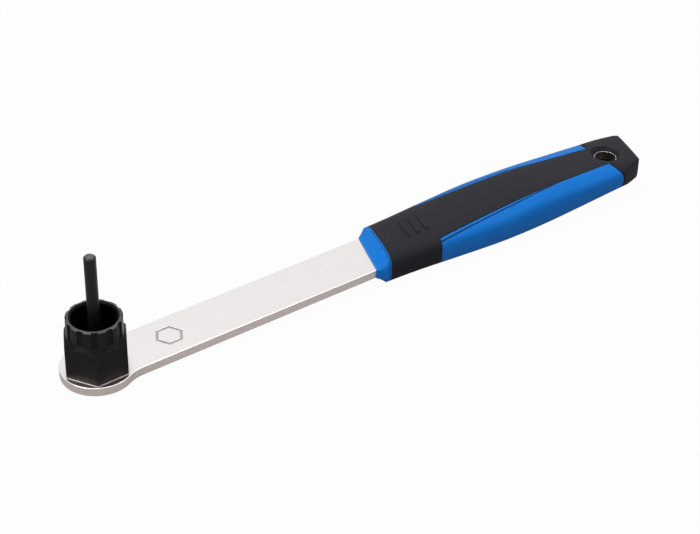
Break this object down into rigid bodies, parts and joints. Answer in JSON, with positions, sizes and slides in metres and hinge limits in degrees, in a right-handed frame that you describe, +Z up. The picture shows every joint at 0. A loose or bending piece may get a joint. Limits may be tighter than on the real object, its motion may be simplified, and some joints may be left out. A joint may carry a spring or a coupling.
{
  "type": "cassette lockring tool",
  "caption": "Lever tool for a cassette lockring: a flat steel bar with a splined hex socket and a guide pin on its eye, and a moulded handle with a soft grip and a hang hole.",
  "frame": {"origin": "on the socket's axis, at the level of the lever's top face, where the hexagon stands on the eye", "axes": "+X along the lever from the socket to the handle, +Z up the socket's axis to the guide pin's tip"},
  "size_m": [0.3085, 0.0366, 0.0657],
  "materials": {
    "plate": "satin plated steel",
    "socket": "satin black steel",
    "pin": "satin black steel",
    "core": "satin blue plastic",
    "grip": "matte black soft moulding"
  },
  "bodies": {
    "root": {"lever_plate": "plate", "splined_socket": "socket", "guide_pin": "pin", "handle_core": "core", "handle_grip": "grip"}
  },
  "joints": []
}
